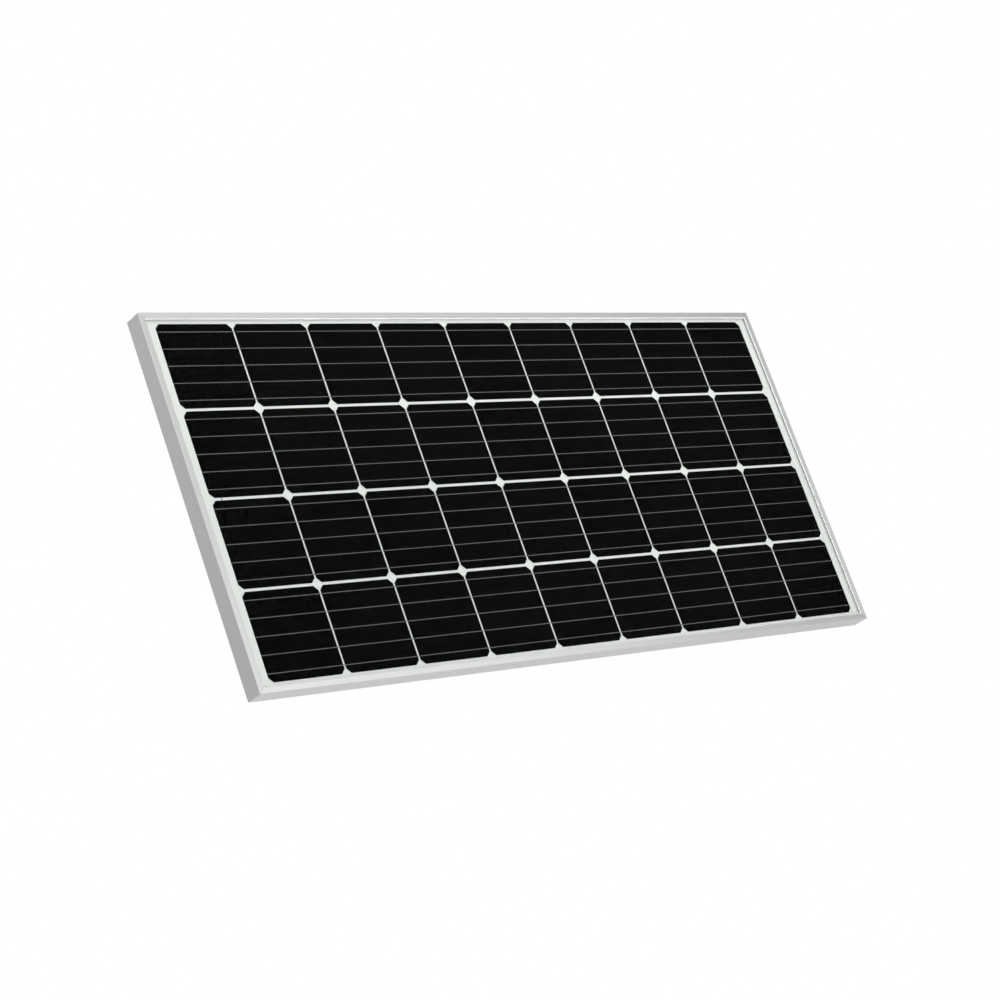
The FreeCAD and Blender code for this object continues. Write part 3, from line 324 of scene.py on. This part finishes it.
def silicon():
    """Near-black wafer: fine printed fingers across the ribbons, a thin
    unprinted rim, a slight change of tone from wafer to wafer."""
    made, net = material("mono_silicon")
    x, _, z = net.xyz(net.place)
    across, up = wafer_grid(net, x, z)
    u, v = in_wafer(net, across, up)
    wafer = net.new("ShaderNodeCombineXYZ", X=net.math("FLOOR", across),
                    Y=net.math("FLOOR", up), Z=0.37)
    shade = net.new("ShaderNodeTexWhiteNoise", {"noise_dimensions": "3D"},
                    Vector=wafer.outputs[0]).outputs[0]
    phase = net.math("FRACT", net.math("DIVIDE", u, FINGER_PITCH))
    finger = net.ramp(net.off(phase, centre=0.5), start=0.052, end=0.030)
    rim = net.math("MINIMUM", net.inset(u, WAFER), net.inset(v, WAFER))
    finger = net.mul(finger, net.ramp(rim, start=0.0008, end=0.0014))
    soft = net.noise(scale=5.5)
    shade_share, soft_share = 0.6, 0.4
    tone = net.add(net.mul(shade, shade_share), net.mul(soft, soft_share))
    dark, light = (0.0016, 0.0016, 0.0019), (0.0023, 0.0023, 0.0027)
    print_colour, print_cover = (0.055, 0.056, 0.06), 0.11
    colour = net.mix(net.mul(finger, print_cover), net.mix(tone, dark, light),
                     print_colour)
    smoothest, soft_rough = 0.17, 0.06
    net.principled(Base_Color=colour, Specular_IOR_Level=0.023,
                   Roughness=net.add(smoothest, net.mul(soft, soft_rough)))
    return made


def ribbon():
    made, net = material("tinned_ribbon")
    wave = net.noise(detail=3.0, rough=0.6, stretch=(60.0, 500.0, 500.0))
    fine = net.noise(scale=2500.0)
    dark, light = (0.155, 0.158, 0.164), (0.215, 0.22, 0.226)
    smoothest, fine_rough, fine_height = 0.34, 0.14, 0.2
    height = net.add(wave, net.mul(fine, fine_height))
    net.principled(Base_Color=net.mix(wave, dark, light), Metallic=0.55,
                   Roughness=net.add(smoothest, net.mul(fine, fine_rough)),
                   Normal=net.bump(height, distance=0.00006, strength=0.6))
    return made


def laminate_relief(net):
    """Masks of the wafers and of the ribbon lines under a sheet."""
    x, _, z = net.xyz(net.place)
    u, v = in_wafer(net, *wafer_grid(net, x, z))
    soft, margin = 0.0012, 0.002               # soft edge of a wafer, of the grid
    half = WAFER / 2
    wafer_u, wafer_v = (net.ramp(net.off(value, half), half + soft, half - soft)
                        for value in (u, v))
    in_x, in_z = (net.ramp(net.math("ABSOLUTE", value), reach + margin, reach)
                  for value, reach in ((x, -GRID_LEFT), (z, -GRID_BOTTOM)))
    wafers = net.mul(net.mul(wafer_u, wafer_v), net.mul(in_x, in_z))
    count = net.math("DIVIDE", net.sub(v, RIBBON_INSET), RIBBON_PITCH)
    distance = net.mul(net.off(count, net.math("ROUND", count)), RIBBON_PITCH)
    lines = net.mul(net.ramp(distance, start=0.0022, end=0.0005), in_x)
    return wafers, lines


def white_sheet(name, base, relief=False, rough=0.5, scale=900.0):
    """White polymer sheet.  With relief, the wafers and ribbons under it show
    as faint raised shapes, as they do on the back of a laminate."""
    made, net = material(name)
    fine = net.noise(scale=scale, detail=3.0, rough=0.6)
    cloud = net.noise(scale=4.0, detail=3.0)
    cloud_share, fine_share, fine_height = 0.7, 0.3, 0.06
    tone = net.add(net.mul(cloud, cloud_share), net.mul(fine, fine_share))
    colour = net.mix(tone, scaled(base, gain=0.965), scaled(base, gain=1.02))
    height = net.mul(fine, fine_height)
    if relief:
        wafers, lines = laminate_relief(net)
        wafer_height, line_height, wafer_tone = 0.8, 0.9, 0.10
        height = net.add(height, net.mul(wafers, wafer_height))
        height = net.add(height, net.mul(lines, line_height))
        colour = net.mix(net.mul(wafers, wafer_tone), colour, scaled(base, gain=0.80))
        normal = net.bump(height, distance=0.00022, strength=0.9)
    else:
        normal = net.bump(height, distance=0.00015, strength=0.7)
    net.principled(Base_Color=colour, Roughness=net.vary(rough, fine, by=0.15),
                   Normal=normal)
    return made


def rubber(name, base, rough, lift=0.00008, scale=700.0):
    made, net = material(name)
    fine = net.noise(scale=scale, detail=3.0, rough=0.6)
    cloud = net.noise(scale=25.0)
    net.principled(
        Base_Color=net.mix(cloud, scaled(base, gain=0.8), scaled(base, gain=1.2)),
        Roughness=net.vary(rough, fine, by=0.2),
        Normal=net.bump(fine, distance=lift, strength=0.6))
    return made


def label():
    """Blank rating plate: silver film with empty ruled boxes, no lettering."""
    made, net = material("label_film")
    lo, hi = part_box("rating_label")
    width, tall = hi.x - lo.x, hi.z - lo.z
    x, _, z = net.xyz(net.place)
    u = net.math("DIVIDE", net.sub(x, lo.x), width)
    v = net.math("DIVIDE", net.sub(z, lo.z), tall)
    row_count, divider = 8.0, 0.55             # divider: share of the width
    row = net.math("FRACT", net.mul(v, row_count))
    rules = net.ramp(net.off(row, centre=0.5), start=0.46, end=0.475)
    upright = net.ramp(net.off(u, divider), start=0.004, end=0.002)
    # distance in from the plate's edge, in plate widths
    rim = net.math("MINIMUM", net.inset(u, 1.0), net.mul(net.inset(v, 1.0), tall / width))
    border = net.mul(net.ramp(rim, start=0.026, end=0.029),
                     net.ramp(rim, start=0.036, end=0.033))
    within = net.ramp(rim, start=0.034, end=0.036)
    ink = net.math("MAXIMUM", border,
                   net.mul(within, net.math("MAXIMUM", rules, upright)), clamp=True)
    film = net.noise(scale=1500.0)
    dark, light = (0.50, 0.505, 0.515), (0.58, 0.585, 0.595)
    ink_colour, ink_cover = (0.10, 0.10, 0.11), 0.8
    colour = net.mix(net.mul(ink, ink_cover), net.mix(film, dark, light), ink_colour)
    smoothest, film_rough = 0.34, 0.1
    net.principled(Base_Color=colour, Metallic=0.25,
                   Roughness=net.add(smoothest, net.mul(film, film_rough)),
                   Normal=net.bump(film, distance=0.00002, strength=0.4))
    return made


def jacket():
    made, net = material("cable_jacket")
    fine = net.noise(detail=3.0, rough=0.6, stretch=(120.0, 1500.0, 1500.0))
    cloud = net.noise(scale=18.0)
    dark, light = (0.014, 0.014, 0.015), (0.026, 0.026, 0.028)
    smoothest, fine_rough = 0.42, 0.16
    net.principled(Base_Color=net.mix(cloud, dark, light),
                   Roughness=net.add(smoothest, net.mul(fine, fine_rough)),
                   Normal=net.bump(fine, distance=0.00004, strength=0.6),
                   Coat_Weight=0.12, Coat_Roughness=0.3)
    return made


CELLS = ["cell_string_%d" % i for i in (1, 2, 3, 4)]
OFF_WHITE = (0.81, 0.81, 0.80)
SILICONE = (0.76, 0.76, 0.75)

# frame
dress(aluminium("anodised_long", axis="x"), "frame_rail_top", "frame_rail_bottom")
dress(aluminium("anodised_short", axis="z"), "frame_rail_left", "frame_rail_right")
dress(metal("cast_aluminium", base=(0.60, 0.605, 0.61), rough=0.5, scale=500.0),
      *named("corner_key"))
dress(rubber("silicone_sealant", base=SILICONE, rough=0.5), "frame_sealant")

# laminate
dress(glass(), "front_glass")
dress(clear_film(), "eva_front")
dress(white_sheet("white_encapsulant", base=OFF_WHITE), "eva_back")
dress(white_sheet("cover_film", base=OFF_WHITE, rough=0.45, scale=1400.0),
      "end_cover_strip_left", "end_cover_strip_right")
dress(white_sheet("backsheet", base=(0.82, 0.83, 0.84), relief=True), "backsheet")
dress(silicon(), *CELLS)
dress(ribbon(), *named("tabbing_ribbon", "bus_ribbon"))
dress(white_sheet("insulation_film", base=(0.74, 0.77, 0.82), rough=0.3),
      "bus_insulation_film")

# junction box and connectors
dress(plastic("box_plastic", base=(0.022, 0.022, 0.024)),
      "junction_box_base", "junction_box_lid")
dress(plastic("gland_plastic", base=(0.026, 0.026, 0.028), rough=0.40, texture=2600.0),
      "cable_gland_nuts")
dress(plastic("connector_plastic", base=(0.020, 0.020, 0.022), rough=0.38,
              texture=3600.0),
      *named("connector", ends=("_nut", "_body")))
dress(rubber("gasket_rubber", base=(0.05, 0.05, 0.055), rough=0.65),
      "junction_box_gasket", "cable_gland_seals", "connector_positive_seal",
      "connector_negative_seal")
dress(rubber("white_silicone", base=SILICONE, rough=0.5, lift=0.0002, scale=300.0),
      "junction_box_adhesive")
dress(metal("stainless_steel", base=(0.60, 0.60, 0.61), rough=0.25,
            stretch=(900.0, 900.0, 900.0)),
      "junction_box_hinge_pin", "terminal_screws")
dress(metal("terminal_brass", base=(0.70, 0.60, 0.38), rough=0.32, scale=700.0),
      "terminal_positive", "terminal_mid_tap", "terminal_negative",
      "connector_positive_contact", "connector_negative_contact")
dress(metal("copper_core", base=(0.72, 0.40, 0.26), rough=0.35,
            stretch=(40.0, 1800.0, 1800.0)), "cable_conductors")
dress(plastic("diode_epoxy", base=(0.045, 0.045, 0.05), rough=0.5),
      "bypass_diode_1", "bypass_diode_2")
dress(label(), "rating_label")
JACKET = jacket()
dress(JACKET, "cable_stubs")


# ------------------------------------------------------------------ leads
def add_object(name, data):
    made = bpy.data.objects.new(name, data)
    bpy.context.scene.collection.objects.link(made)
    return made


def to_mesh(name, bm):
    mesh = bpy.data.meshes.new(name)
    bm.to_mesh(mesh)
    bm.free()
    return mesh


def bspline(poles, per_span=14):
    """Clamped uniform cubic B-spline through these control points."""
    degree = 3
    spans = len(poles) - degree
    knots = ([0.0] * (degree + 1) + [float(i) for i in range(1, spans)]
             + [float(spans)] * (degree + 1))
    points = []
    steps = spans * per_span
    for step in range(steps + 1):
        t = min(spans * step / steps, spans - 1e-9)
        span = int(t)
        work = [Vector(poles[j + span]) for j in range(degree + 1)]
        # de Boor's algorithm
        for level in range(1, degree + 1):
            for j in range(degree, level - 1, -1):
                lo = knots[j + span]
                hi = knots[j + 1 + span + degree - level]
                share = (t - lo) / (hi - lo)
                work[j] = work[j - 1] * (1 - share) + work[j] * share
        points.append(work[degree])
    return points


def tube(name, path, radius, sides=28):
    """A closed tube along a path, with its frame carried along smoothly."""
    bm = bmesh.new()
    rings = []
    last = len(path) - 1
    tangents = [(path[min(i + 1, last)] - path[max(i - 1, 0)]).normalized()
                for i in range(len(path))]
    up = Vector((0, 0, 1))
    up = (up - tangents[0] * up.dot(tangents[0])).normalized()
    for point, tangent in zip(path, tangents):
        up = (up - tangent * up.dot(tangent)).normalized()
        side = tangent.cross(up)
        rings.append([bm.verts.new(point + radius * (
            math.cos(2 * math.pi * k / sides) * up
            + math.sin(2 * math.pi * k / sides) * side))
            for k in range(sides)])
    for a, b in zip(rings, rings[1:]):
        for k in range(sides):
            after = (k + 1) % sides
            bm.faces.new((a[k], a[after], b[after], b[k]))
    bm.faces.new(rings[0][::-1])
    bm.faces.new(rings[-1])
    bmesh.ops.recalc_face_normals(bm, faces=bm.faces)
    mesh = to_mesh(name, bm)
    for face in mesh.polygons:
        face.use_smooth = len(face.vertices) == 4
    return add_object(name, mesh)


# Lead sizes and places, in millimetres
LEAD_RADIUS = 3.16
GLAND_X, GLAND_Y = -578.0, -15.0
LANE_Z = 32.0                                  # gland centres, above and below 0
REST_Y = -23.06                                # the long run, nearest the laminate
PLUG_Y = -17.0


def lead(sign, lane, plug_x, plug_z, leaving, arriving, settle):
    """The lead's jacket, one piece from inside the gland nut to inside the
    plug's cap.  It bends near the gland as the lead is lifted.

    leaving and arriving hold (x from the gland, z from the lane or from
    plug_z); settle is the z from plug_z where the run straightens."""
    (first_x, first_z), *others = leaving
    poles = [(GLAND_X + step, GLAND_Y, lane) for step in (0, 6, 14, 30)]
    poles.append((GLAND_X + first_x, GLAND_Y - 4.0, lane + first_z))
    poles += [(GLAND_X + step, REST_Y, lane + shift) for step, shift in others]
    poles += [(GLAND_X + step, REST_Y, plug_z + shift) for step, shift in arriving]
    poles += [(plug_x - 130, REST_Y, plug_z + settle), (plug_x - 78, REST_Y, plug_z),
              (plug_x - 46, PLUG_Y - 1.0, plug_z)]
    poles += [(plug_x + step, PLUG_Y, plug_z) for step in (-22, -8, 10, 25)]

    def by_gland(offset):
        return Vector((GLAND_X + offset, GLAND_Y, lane)) * MM

    points = bspline([Vector(pole) * MM for pole in poles])
    start = by_gland(-9.0)
    points = [start, start.lerp(points[0], 0.5)] + points
    made = tube("lead_jacket_" + sign, points, LEAD_RADIUS * MM)
    made.data.materials.append(JACKET)
    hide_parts("cable_" + sign)
    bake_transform(made)


lead("positive", lane=LANE_Z, plug_x=225.0, plug_z=105.0,
     leaving=((70, 3), (110, 14), (170, 48), (250, 76)),
     arriving=((360, 9), (500, -7)), settle=-2)
lead("negative", lane=-LANE_Z, plug_x=190.0, plug_z=-101.0,
     leaving=((72, -2), (115, -12), (180, -44), (262, -76)),
     arriving=((372, -10), (500, 4)), settle=3)


# ------------------------------------------------------------------ stage
def floor(radius=14.0, segments=96, level=-1.50):
    """A round floor that fades out away from the panel."""
    bm = bmesh.new()
    centre = bm.verts.new((0, 0, 0))
    ring = [bm.verts.new((radius * math.cos(2 * math.pi * k / segments),
                          radius * math.sin(2 * math.pi * k / segments), 0))
            for k in range(segments)]
    for k in range(segments):
        bm.faces.new((centre, ring[k], ring[(k + 1) % segments]))
    made = add_object("stage_floor", to_mesh("stage_floor", bm))
    made.location = (0, 0, level)
    surface, net = material("stage_floor")
    dark, light = (0.835, 0.843, 0.862), (0.865, 0.873, 0.892)
    paint = net.new("ShaderNodeBsdfDiffuse", Color=net.mix(net.noise(scale=3.0), dark, light))
    fade = net.ramp(net.vector_math("LENGTH", net.place), start=2.6, end=8.5)
    net.out(net.mix_shaders(fade, paint, net.new("ShaderNodeBsdfTransparent")))
    made.data.materials.append(surface)


floor()


# ------------------------------------------------------------------ lights
def area(name, place, size, power, colour, aim=(0, 0, 0), size_y=None):
    light = bpy.data.lights.new(name, "AREA")
    light.shape = "RECTANGLE"
    light.size = size
    light.size_y = size_y or size
    light.energy = power
    light.color = colour
    made = add_object(name, light)
    made.location = place
    made.rotation_euler = (Vector(aim) - Vector(place)).to_track_quat("-Z", "Y").to_euler()
    return made


LAMINATE = bpy.data.collections.new("laminate")
for part in ("eva_back", "end_cover_strip_left", "end_cover_strip_right",
             "frame_sealant", "backsheet", "front_glass", "eva_front",
             *CELLS, *named("tabbing_", "bus_")):
    LAMINATE.objects.link(NODES[part])


def low_fill(name, spread, **settings):
    """A light, with its spread in degrees, that reaches the laminate only, so
    it leaves no glare on the frame."""
    made = area(name, colour=(1.0, 0.998, 0.99), **settings)
    made.data.spread = math.radians(spread)
    made.light_linking.receiver_collection = LAMINATE
    return made


COOL = (0.95, 0.975, 1.0)
area("key", place=(-1.1, -4.5, 2.7), size=2.4, power=30.0, colour=(1.0, 0.997, 0.99))
# low fills from beside the camera and from below open the shadow under the
# frame's lip
low_fill("low_fill", place=(-3.45, -3.4, -1.15), size=0.6, power=14.0, spread=70.0)
for unseen in (
        low_fill("low_fill_right", place=(-1.3, -1.6, -0.55), aim=(0.80, 0, 0),
                 size=0.4, power=0.9, spread=40.0),
        low_fill("low_fill_below", place=(0.1, -2.4, -1.9), aim=(0, 0, 0.2),
                 size=0.4, power=4.5, spread=90.0),
        low_fill("low_fill_top", place=(0.0, -1.2, -0.6), aim=(0, 0, 0.42),
                 size=1.5, size_y=0.15, power=0.6, spread=30.0)):
    unseen.visible_glossy = False
area("fill", place=(2.4, -3.8, 0.2), size=2.4, power=12.0, colour=COOL)
area("rear_key", place=(1.3, 3.9, 2.6), size=2.2, power=66.0, colour=(1.0, 0.995, 0.985))
area("rear_fill", place=(-0.3, 4.3, 0.0), size=2.2, power=10.0, colour=COOL)


def world():
    """Soft studio: brighter overhead and in front, darker to the far left, with
    one dark flag up and to the right of the face.  The camera sees white."""
    studio = bpy.data.worlds.new("studio")
    bpy.context.scene.world = studio
    studio.use_nodes = True
    net = Net(studio.node_tree)
    direction = net.new("ShaderNodeTexCoord").outputs["Generated"]
    x, y, z = net.xyz(direction)
    below, above = (0.53, 0.54, 0.61), (0.76, 0.765, 0.77)
    soft = net.mix(net.ramp(z, start=-1.0, end=1.0, smooth=False), below, above)
    front = net.ramp(y, start=0.1, end=-0.8)
    side = net.ramp(x, start=0.05, end=0.5, low=0.12, high=0.7)
    front_colour = (1.03, 1.03, 1.0)
    soft = net.mix(net.mul(front, side), soft, front_colour)
    left = net.ramp(x, start=-0.10, end=-0.85)
    wing_low, wing_high = (0.44, 0.437, 0.432), (0.605, 0.60, 0.595)
    wing = net.mix(net.ramp(z, start=0.22, end=0.42, smooth=False), wing_low, wing_high)
    soft = net.mix(left, soft, wing)
    flag_direction = Vector((0.90, -0.27, 0.38)).normalized()
    flag_colour, flag_cover = (0.12, 0.12, 0.117), 0.80
    flag = net.ramp(net.vector_math("DOT_PRODUCT", direction, flag_direction),
                    start=0.81, end=0.98)
    soft = net.mix(net.mul(flag, flag_cover), soft, flag_colour)
    seen = net.new("ShaderNodeLightPath").outputs["Is Camera Ray"]
    white = (1.0, 1.0, 1.0)
    background = net.new("ShaderNodeBackground", Color=net.mix(seen, soft, white),
                         Strength=1.0)
    net.new("ShaderNodeOutputWorld", Surface=background.outputs[0])


world()


# ------------------------------------------------------------------ camera
def camera():
    """Looks at the face from the lower left."""
    lens = bpy.data.cameras.new("camera")
    lens.sensor_fit = "HORIZONTAL"
    lens.sensor_width = 36.0
    lens.lens = 93.29
    lens.clip_end = 60.0
    made = add_object("camera", lens)
    right = (0.7322, -0.5997, -0.3229)
    up = (0.0490, -0.4264, 0.9032)
    back = (-0.6793, -0.6772, -0.2828)
    from_cells = Vector((-3.22368, -3.11804, -1.33662))
    turn = Matrix((right, up, back)).transposed()
    place = from_cells + Vector((0, CELL_Y, 0))
    made.matrix_world = Matrix.Translation(place) @ turn.to_4x4()
    bpy.context.scene.camera = made


camera()
view = bpy.context.scene.view_settings
view.view_transform = "Standard"
view.look = "None"
